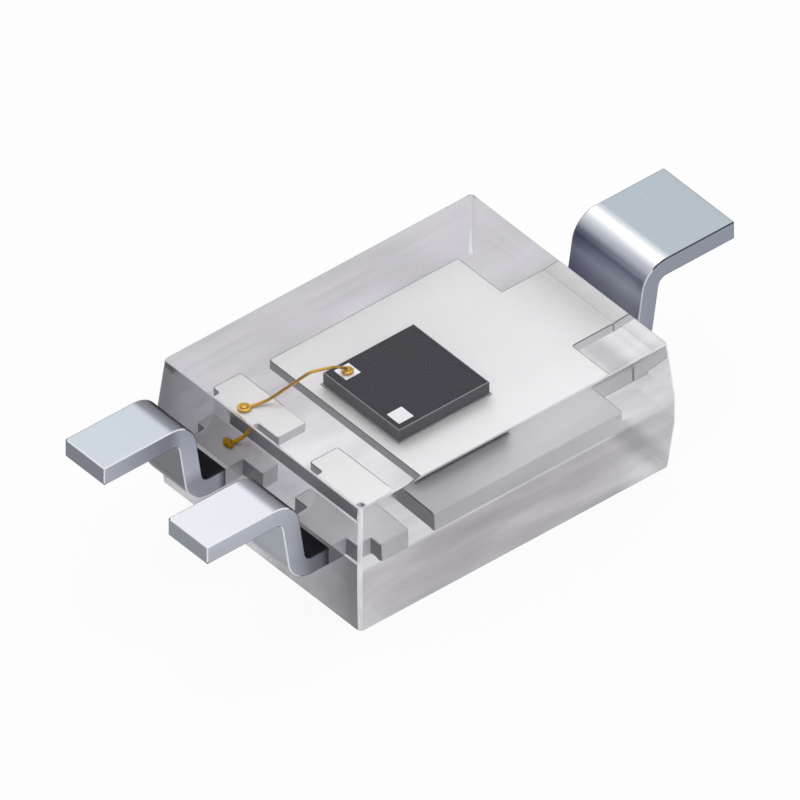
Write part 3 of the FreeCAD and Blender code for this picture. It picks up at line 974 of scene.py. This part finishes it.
# Each lead's tints hold painted light and shade: one plating gets a different upper tint on each lead,
# the under faces are painted shade, and the sheared faces and tips are partly cut metal and partly
# painted shade. The bonded lead's riser share of 1.8 is painted light.
wide_tints = ((0.465, 0.525, 0.58), (0.25, 0.26, 0.28), (0.295, 0.32, 0.385), (0.20, 0.21, 0.25))
bonded_tints = ((0.61, 0.66, 0.71), (0.128, 0.137, 0.152), (0.48, 0.51, 0.58), (0.205, 0.218, 0.255))
spare_tints = ((0.78, 0.81, 0.85), (0.33, 0.36, 0.40), (0.48, 0.51, 0.57), (0.27, 0.29, 0.33))
# The wide lead's riser edges get the painted edge highlight, and its foot's the painted edge shade.
wide_edges = (wide_low.y, wide_lead_high, PAINTED_EDGE_HIGHLIGHT, PAINTED_EDGE_SHADE)
leads = {
    "die_pad_lead": make_lead(
        "wide_lead_sheet",
        lead_plates("wide", wide_tints, (WIDE_FAR, WIDE_NEAR), 0.05, 1.0, wide_edges),
        1,
        wide_low.x,
        wide_low.y,
        wide_high.y,
        wide_lead_low,
        wide_lead_high,
        package_end - NECK,
    ),
    "bonded_lead": narrow_lead("bonded", bonded_low, bonded_high, NARROW_PITCH / 2, bonded_tints, 1.8),
    "spare_lead": narrow_lead("spare", spare_low, spare_high, -NARROW_PITCH / 2, spare_tints, 1.0),
}
for node, lead in leads.items():
    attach(lead, "root")
    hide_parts(node)

wire = make_bond_wire()
dress(wire, gold())
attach(wire, "root")
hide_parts("bond_wire")

dress(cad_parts["photodiode_chip"], coated_silicon())
dress(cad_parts["die_attach"], silver_epoxy())
aluminium = pad_aluminium()
for node in ("wired_bond_pad", "spare_bond_pad"):
    dress(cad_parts[node], aluminium)


# Stage: pale floor, white to the camera, with the object's shadow kept

def make_floor():
    select_nothing()
    bpy.ops.mesh.primitive_plane_add(size=FLOOR_SIZE, location=(0, 0, package_low.z - FLOOR_DROP))
    floor = finish_place(bpy.context.object, "floor")
    material, recipe = new_material("pale_floor")
    rays = ("Is Camera Ray", "Is Glossy Ray", "Is Transmission Ray")
    seen = sum(recipe.add("ShaderNodeLightPath", output=ray) for ray in rays)
    seen = recipe.add("ShaderNodeMath", {"operation": "MINIMUM"}, {0: seen, 1: 1.0})
    paint = recipe.add("ShaderNodeBsdfDiffuse", {}, {"Color": FLOOR_PAINT})
    white = recipe.add("ShaderNodeEmission", {}, {"Color": (1, 1, 1, 1), "Strength": 1.0})
    mixed = recipe.add("ShaderNodeMixShader", {}, {0: seen * FLOOR_WHITE, 1: paint, 2: white})
    recipe.add("ShaderNodeOutputMaterial", {}, {"Surface": mixed})
    dress(floor, material)


def make_world():
    world = bpy.data.worlds.new("studio")
    bpy.context.scene.world = world
    recipe = Recipe(world)
    way = recipe.add("ShaderNodeTexCoord", output="Generated")
    height = recipe.add("ShaderNodeSeparateXYZ", {}, {"Vector": way}, output="Z")
    across = recipe.add("ShaderNodeSeparateXYZ", {}, {"Vector": way}, output="X")
    sky = recipe.ramp(height * 0.5 + 0.5, (0.50, 0.80), (0.62, 0.90), (0.80, 0.95), (0.95, 0.90))
    shade = recipe.ramp(across * 0.5 + 0.5, (0.0, 0.72), (0.45, 1.0))
    light = recipe.blend(1.0, sky, shade, "MULTIPLY")
    background = recipe.add("ShaderNodeBackground", {}, {"Color": light, "Strength": 1.0})
    recipe.add("ShaderNodeOutputWorld", {}, {"Surface": background})


def make_lamp(name, place, size, radiance):
    """A square soft box that looks at the object. Its power follows from how bright it looks."""
    lamp = bpy.data.lights.new(name, "AREA")
    lamp.size = size
    lamp.energy = radiance * math.pi * size * size
    box = bpy.data.objects.new(name, lamp)
    box.location = place
    box.rotation_euler = (AIM - Vector(place)).to_track_quat("-Z", "Y").to_euler()
    bpy.context.scene.collection.objects.link(box)


def make_camera():
    camera = bpy.data.cameras.new("camera")
    camera.type = "ORTHO"
    camera.ortho_scale = PICTURE / PIXELS_PER_MM * MM
    camera.clip_start = 1 * MM
    camera.clip_end = 400 * MM
    seat = bpy.data.objects.new("camera", camera)
    level = math.cos(VIEW_ELEVATION)
    away = Vector((
        math.sin(VIEW_AZIMUTH) * level,
        -math.cos(VIEW_AZIMUTH) * level,
        math.sin(VIEW_ELEVATION),
    ))
    seat.location = AIM + away * CAMERA_AWAY
    seat.rotation_euler = (-away).to_track_quat("-Z", "Y").to_euler()
    bpy.context.scene.collection.objects.link(seat)
    bpy.context.scene.camera = seat


make_floor()
make_world()
make_lamp("overhead", LAMP_PLACE, LAMP_SIZE, LAMP_RADIANCE)
make_camera()
bpy.context.scene.view_settings.view_transform = "Standard"

select_nothing()
